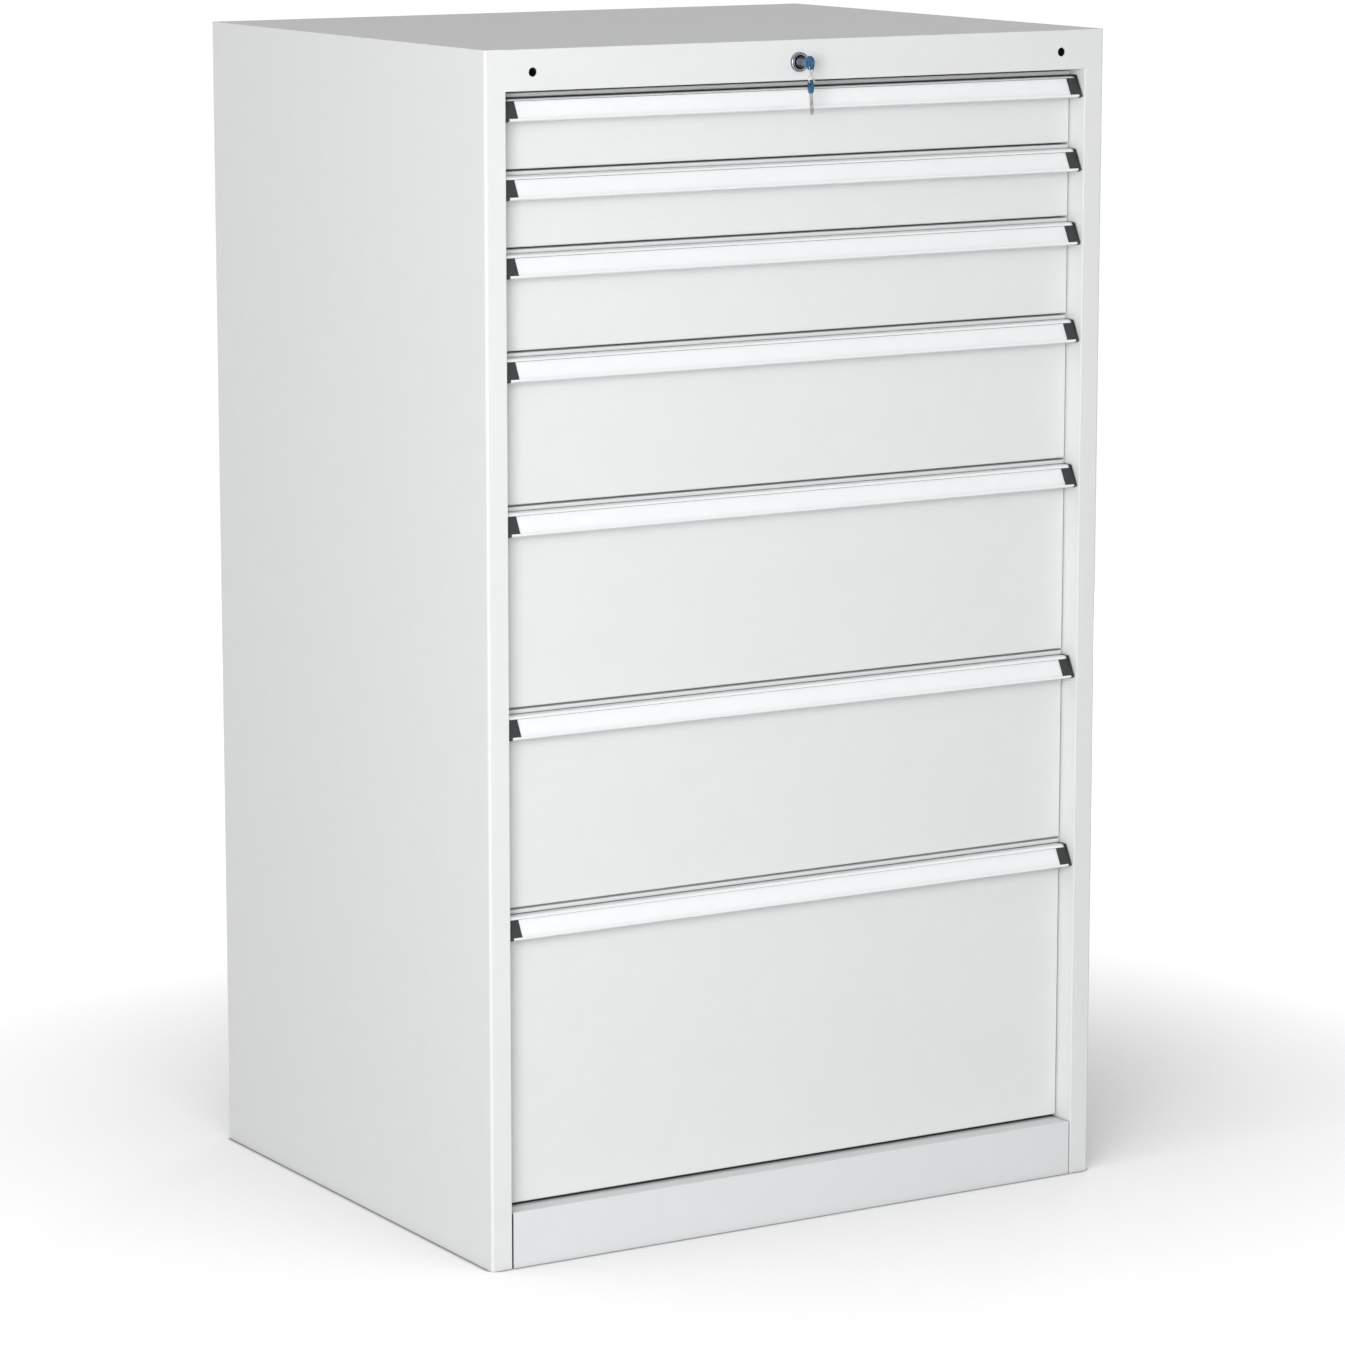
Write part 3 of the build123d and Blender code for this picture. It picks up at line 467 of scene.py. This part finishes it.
def perforated(shape, corner, along, up, depth, columns, rows, is_open=None):
    """Closed sheet on a grid of columns and rows, open where is_open says so."""
    grid = [(column, row) for column in range(len(columns)) for row in range(len(rows))]
    near = {(i, j): shape.verts.new(corner + along * columns[i] + up * rows[j]) for i, j in grid}
    far = {spot: shape.verts.new(near[spot].co + depth) for spot in grid}

    def is_solid(column, row):
        inside = 0 <= column < len(columns) - 1 and 0 <= row < len(rows) - 1
        return inside and not (is_open and is_open(column, row))

    for column, row in grid:
        if not is_solid(column, row):
            continue
        ring = [(column, row), (column + 1, row), (column + 1, row + 1), (column, row + 1)]
        shape.faces.new([near[spot] for spot in ring])
        shape.faces.new([far[spot] for spot in reversed(ring)])
        neighbours = [(column, row - 1), (column + 1, row), (column, row + 1), (column - 1, row)]
        for start, end, neighbour in zip(ring, ring[1:] + ring[:1], neighbours):
            if not is_solid(*neighbour):
                shape.faces.new((near[start], far[start], far[end], near[end]))


# Drawer tray with slotted walls, a rim folded inwards, and the tab that the locking bar catches
def slotted_wall(shape, corner, along, length, height, depth):
    count = int((length - TRAY_SLOT_PITCH) / TRAY_SLOT_PITCH)
    first = (length - (count - 1) * TRAY_SLOT_PITCH) / 2
    columns = [0.0]
    for place in range(count):
        middle = first + place * TRAY_SLOT_PITCH
        columns += [middle - TRAY_SLOT / 2, middle + TRAY_SLOT / 2]
    columns.append(length)
    rows = [0.0, TRAY_SLOT_BAND, height - TRAY_SLOT_BAND, height]

    def is_slot(column, row):
        return row == 1 and column % 2 == 1

    perforated(shape, corner, along, UP, depth, columns, rows, is_slot)


def tray_rim(shape, front, level):
    section = [
        (0, 0),
        (0, -RIM_HEIGHT),
        (-RIM_WIDTH / 3, -RIM_HEIGHT),
        (-RIM_WIDTH, -RIM_HEIGHT * 0.7),
        (-RIM_WIDTH, -RIM_HEIGHT * 0.2),
        (-RIM_WIDTH * 0.7, 0),
    ]
    rings = []
    for side, y, end in ((-1, front, -1), (1, front, -1), (1, TRAY_BACK, 1), (-1, TRAY_BACK, 1)):
        rings.append([(side * (TRAY_HALF + out), y + end * out, level + up) for out, up in section])
    loft(shape, rings, closed=True)


def tab_section(level):
    top, low = level + TAB_LEVEL, level + TAB_LEVEL - TAB_LIP
    inner = TAB_END - TAB_SHEET
    return [
        (TRAY_BACK, top),
        (TAB_END - TAB_SHEET / 2, top),
        (TAB_END, top - TAB_SHEET / 2),
        (TAB_END, low),
        (inner, low),
        (inner, top - TAB_SHEET),
        (TRAY_BACK, top - TAB_SHEET),
    ]


def make_tray(number):
    node = f"drawer_{number}_box"
    low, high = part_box(node)
    front, level, top = low[1], low[2], high[2]
    width, length = 2 * TRAY_HALF, TRAY_BACK - front
    foot = level + TRAY_SHEET
    height = top - RIM_HEIGHT - foot
    shape = bmesh.new()
    corner = Vector((-TRAY_HALF, front, level))
    perforated(shape, corner, EAST, NORTH, UP * TRAY_SHEET, (0, width), (0, length))
    for x in (-TRAY_HALF, TRAY_HALF - TRAY_SHEET):
        slotted_wall(shape, Vector((x, front, foot)), NORTH, length, height, EAST * TRAY_SHEET)
    for y in (front, TRAY_BACK - TRAY_SHEET):
        corner = Vector((TRAY_SHEET - TRAY_HALF, y, foot))
        slotted_wall(shape, corner, EAST, width - 2 * TRAY_SHEET, height, NORTH * TRAY_SHEET)
    tray_rim(shape, front, top)
    ends = (TAB_MIDDLE - TAB_WIDTH / 2, TAB_MIDDLE + TAB_WIDTH / 2)
    loft(shape, [[(x, y, z) for y, z in tab_section(level)] for x in ends])
    tray = add_piece(f"drawer_{number}_tray", finished(node, shape), "painted_steel", f"drawer_{number}")
    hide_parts(node)


# Drawer rails with a rolled edge along their tips
def make_drawer_rails(number):
    low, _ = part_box(f"drawer_{number}_box")
    middle = low[2] + RAIL_LEVEL
    inner = RAIL_HALF - RAIL_SHEET
    roll = RAIL_TIP - RAIL_ROLL
    upper = [
        (TRAY_HALF + RAIL_SHEET, inner),
        (roll, inner),
        (roll, inner - RAIL_ROLL),
        (RAIL_TIP, inner - RAIL_ROLL),
        (RAIL_TIP, RAIL_HALF - RAIL_ROLL / 2),
        (roll, RAIL_HALF),
        (TRAY_HALF, RAIL_HALF),
    ]
    section = upper + [(x, -z) for x, z in reversed(upper)]
    shape = bmesh.new()
    for side in (-1, 1):
        loft(shape, [[(side * x, y, middle + z) for x, z in section] for y in (RAIL_FRONT, RAIL_BACK)])
    mesh = finished(f"drawer_{number}_rails", shape)
    add_piece(f"drawer_{number}_rails", mesh, "zinc_steel", f"drawer_{number}")


# Turned pieces: a profile of (radius, distance along the axis) taken round
def turned(shape, place, axis, profile, corners=64):
    across = axis.orthogonal().normalized()
    other = axis.cross(across)
    rings = []
    for corner in range(corners):
        angle = 2 * math.pi * corner / corners
        out = across * math.cos(angle) + other * math.sin(angle)
        rings.append([place + out * radius + axis * along for radius, along in profile])
    loft(shape, rings, closed=True)


# Lock housing: rosette with a dish round the plug and a grooved rim, threaded body behind the header
def make_lock_housing():
    rosette = [(radius * MM, along * MM) for radius, along in ROSETTE]
    thread = []
    for turn in range(1, THREAD_TURNS + 1):
        thread += [(THREAD_CREST, THREAD_PITCH * turn), (THREAD_ROOT, THREAD_PITCH * (turn + 0.5))]
    end = [(LOCK_TIP, LOCK_LENGTH), (LOCK_BORE, LOCK_LENGTH)]
    shape = bmesh.new()
    turned(shape, LOCK_PLACE, NORTH, rosette + thread + end)
    mesh = finished("lock_cylinder_housing", shape)
    housing = add_piece("lock_cylinder_housing", mesh, "chrome", "cabinet")
    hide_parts("lock_housing")


# Wire loop: an eye through each key, the strands between them pinched together and twisted
def make_wire_loop():
    low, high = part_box("key_ring")
    eye = (high[0] - low[0]) / 2 - WIRE_RADIUS
    top, foot = high[2] - eye - WIRE_RADIUS, low[2] + eye + WIRE_RADIUS
    # Half the path: over the upper eye and down one strand, as distance out, level and share of the way down
    half = []
    for step in range(WIRE_STEPS):
        angle = math.pi * step / WIRE_STEPS
        half.append((-eye * math.cos(angle), top + eye * math.sin(angle), 0.0))
    for step in range(WIRE_STEPS):
        share = step / WIRE_STEPS
        out = eye - (eye - WIRE_NECK) * math.sin(math.pi * share) ** 2
        half.append((out, top + (foot - top) * share, share))
    path = half + [(-out, top + foot - level, 1 - share) for out, level, share in half]
    middles = []
    sides = []
    for out, level, share in path:
        yaw = SPARE_YAW * share * share * (3 - 2 * share)
        middles.append(Vector((KEY_HOLE.x + out * math.cos(yaw), KEY_HOLE.y + out * math.sin(yaw), level)))
        sides.append(Vector((-math.sin(yaw), math.cos(yaw), 0.0)))
    angles = [2 * math.pi * corner / WIRE_CORNERS for corner in range(WIRE_CORNERS)]
    rings = []
    for place, middle in enumerate(middles):
        along = (middles[(place + 1) % len(middles)] - middles[place - 1]).normalized()
        other = along.cross(sides[place]).normalized()
        side = other.cross(along)
        spokes = [side * math.cos(angle) + other * math.sin(angle) for angle in angles]
        rings.append([middle + spoke * WIRE_RADIUS for spoke in spokes])
    shape = bmesh.new()
    loft(shape, rings, closed=True)
    wire = add_piece("wire_loop", finished("wire_loop", shape), "key_metal", "key_ring")
    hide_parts("key_ring")


# Spare key: the same pattern as the key, hanging by its hole on the wire loop
def make_spare_key():
    loop_low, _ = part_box("key_ring")
    hang = Vector((KEY_HOLE.x, KEY_HOLE.y, loop_low[2] + WIRE_RADIUS - HOLE_PLAY))
    turn = Matrix.Rotation(SPARE_YAW, 4, "Z") @ Matrix.Rotation(SPARE_TURN, 4, "X")
    place = Matrix.Translation(hang) @ turn @ Matrix.Translation(-KEY_HOLE)
    for name, slot in (("blade", "key_metal"), ("bow", "blue_plastic")):
        mesh = nodes["key_" + name].data.copy()
        mesh.transform(place)
        add_piece("spare_key_" + name, mesh, slot, "key_ring")


# Domed rivets along the edges of the back panel
def make_rivets():
    low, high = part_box("back_panel")
    _, side_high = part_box("side_panel_right")
    back = side_high[1]
    half = side_high[0] - RIVET_INSET
    dome = [(radius * RIVET_RADIUS, along * RIVET_HEIGHT) for radius, along in RIVET_DOME]
    step = (high[2] - low[2] - 2 * RIVET_MARGIN) / (RIVET_ROWS - 1)
    shape = bmesh.new()
    for row in range(RIVET_ROWS):
        level = low[2] + RIVET_MARGIN + row * step
        for x in (-half, half):
            turned(shape, Vector((x, back, level)), NORTH, dome, RIVET_CORNERS)
    add_piece("back_rivets", finished("back_rivets", shape), "zinc_steel", "cabinet")


for number in DRAWERS:
    make_tray(number)
    make_drawer_rails(number)
make_lock_housing()
make_wire_loop()
make_spare_key()
make_rivets()


# Rays that show what lies behind the cabinet: the camera's own, mirrored ones and those through clear things
def showing_rays(tree):
    rays = add_node(tree, "LightPath")
    mirrored = dict(Value=rays["Is_Camera_Ray"], Value_001=rays["Is_Glossy_Ray"])
    seen = add_node(tree, "Math", operation="MAXIMUM", **mirrored)["Value"]
    clear = dict(Value=seen, Value_001=rays["Is_Transmission_Ray"])
    return add_node(tree, "Math", operation="MAXIMUM", **clear)["Value"]


# Studio paper: plain diffuse white, with a glow that is less where the key lamp shines and in the soft shadow
# of the cabinet, and a painted contact shadow where the cabinet stands on it
def studio_paper():
    material, tree = new_material("studio_paper")
    spot = add_node(tree, "TexCoord")["Object"]
    fibres = add_node(tree, "TexNoise", Vector=spot, Scale=1 / PAPER_FIBRES)["Fac"]
    share = add_node(tree, "MapRange", Value=fibres, **NOISE_SPAN)["Result"]
    tones = dict(A_Color=linear(PAPER_DARK), B_Color=linear(PAPER_LIGHT))
    colour = add_node(tree, "Mix", data_type="RGBA", Factor_Float=share, **tones)["Result_Color"]
    # Painted contact shadow: paper and glow go dark within a few millimetres of the cabinet
    near = add_node(tree, "AmbientOcclusion", Distance=CONTACT_REACH)["AO"]
    beside = add_node(tree, "MapRange", Value=near, From_Min=0.5, From_Max=0.8)["Result"]
    contact_shadow = dict(A_Color=linear(CONTACT_SHADOW_COLOUR), B_Color=colour)
    colour = add_node(tree, "Mix", data_type="RGBA", Factor_Float=beside, **contact_shadow)["Result_Color"]
    paper = add_node(tree, "BsdfDiffuse", Color=colour)["BSDF"]
    away = add_node(tree, "VectorMath", operation="DISTANCE", Vector=spot, Vector_001=LIT_SPOT)["Value"]
    reach = dict(From_Min=LIT_NEAR, From_Max=LIT_FAR, To_Min=GLOW_NEAR, To_Max=GLOW_FAR)
    level = add_node(tree, "MapRange", Value=away, **reach)["Result"]
    lean = add_node(tree, "CombineXYZ", X=SHADOW_LEAN.x, Y=SHADOW_LEAN.y, Z=SHADOW_LEAN.z)["Vector"]
    clear = add_node(tree, "AmbientOcclusion", Distance=SHADOW_REACH, Normal=lean)["AO"]
    shade = add_node(tree, "Math", operation="POWER", Value=clear, Value_001=SHADOW_DEPTH)["Value"]
    soft = add_node(tree, "Math", operation="MULTIPLY", Value=level, Value_001=shade)["Value"]
    strength = add_node(tree, "Math", operation="MULTIPLY", Value=soft, Value_001=beside)["Value"]
    glow = add_node(tree, "Emission", Strength=strength)["Emission"]
    bright = add_node(tree, "AddShader", Shader=paper, Shader_001=glow)["Shader"]
    shown = add_node(tree, "MixShader", Fac=showing_rays(tree), Shader=paper, Shader_001=bright)["Shader"]
    add_node(tree, "OutputMaterial", Surface=shown)
    return material


def make_floor():
    half = FLOOR_SIZE / 2
    mesh = bpy.data.meshes.new("floor")
    corners = [(-half, -half, 0), (half, -half, 0), (half, half, 0), (-half, half, 0)]
    mesh.from_pydata(corners, [], [(0, 1, 2, 3)])
    floor = bpy.data.objects.new("floor", mesh)
    mesh.materials.append(studio_paper())
    scene.collection.objects.link(floor)


# World: white where it shows, and a sky that is white at the horizon and dimmer overhead for the light
def make_world():
    world = bpy.data.worlds.new("studio")
    world.use_nodes = True
    scene.world = world
    tree = world.node_tree
    tree.nodes.clear()
    direction = add_node(tree, "TexCoord")["Generated"]
    height = add_node(tree, "SeparateXYZ", Vector=direction)["Z"]
    level = add_node(tree, "MapRange", Value=height, To_Min=SKY_HORIZON, To_Max=SKY_TOP)["Result"]
    white = linear(BACKDROP)
    sky = add_node(tree, "Background", Color=white, Strength=level)["Background"]
    backdrop = add_node(tree, "Background", Color=white, Strength=BACKDROP_STRENGTH)["Background"]
    shown = add_node(tree, "MixShader", Fac=showing_rays(tree), Shader=sky, Shader_001=backdrop)["Shader"]
    add_node(tree, "OutputWorld", Surface=shown)


def look_at(thing, place, direction):
    """Set a lamp or camera down and turn it to look along a direction."""
    thing.location = place
    thing.rotation_euler = direction.to_track_quat("-Z", "Y").to_euler()
    scene.collection.objects.link(thing)


def make_lamp(name, place, aim, size, power):
    lamp = bpy.data.lights.new(name, "AREA")
    lamp.shape = "DISK"
    lamp.size = size
    lamp.energy = power
    look_at(bpy.data.objects.new(name, lamp), place, aim - place)


def make_camera():
    camera = bpy.data.cameras.new("camera")
    camera.lens = CAMERA_LENS
    camera.sensor_width = CAMERA_SENSOR
    camera.clip_end = CAMERA_REACH
    holder = bpy.data.objects.new("camera", camera)
    level = math.cos(CAMERA_PITCH)
    ahead = (math.sin(CAMERA_HEADING) * level, math.cos(CAMERA_HEADING) * level, math.sin(CAMERA_PITCH))
    look_at(holder, CAMERA_PLACE, Vector(ahead))
    scene.camera = holder


make_floor()
make_world()
make_lamp("key", KEY_PLACE, KEY_AIM, KEY_SIZE, KEY_POWER)
make_lamp("fill", FILL_PLACE, FILL_AIM, FILL_SIZE, FILL_POWER)
make_camera()
scene.view_settings.view_transform = "Standard"
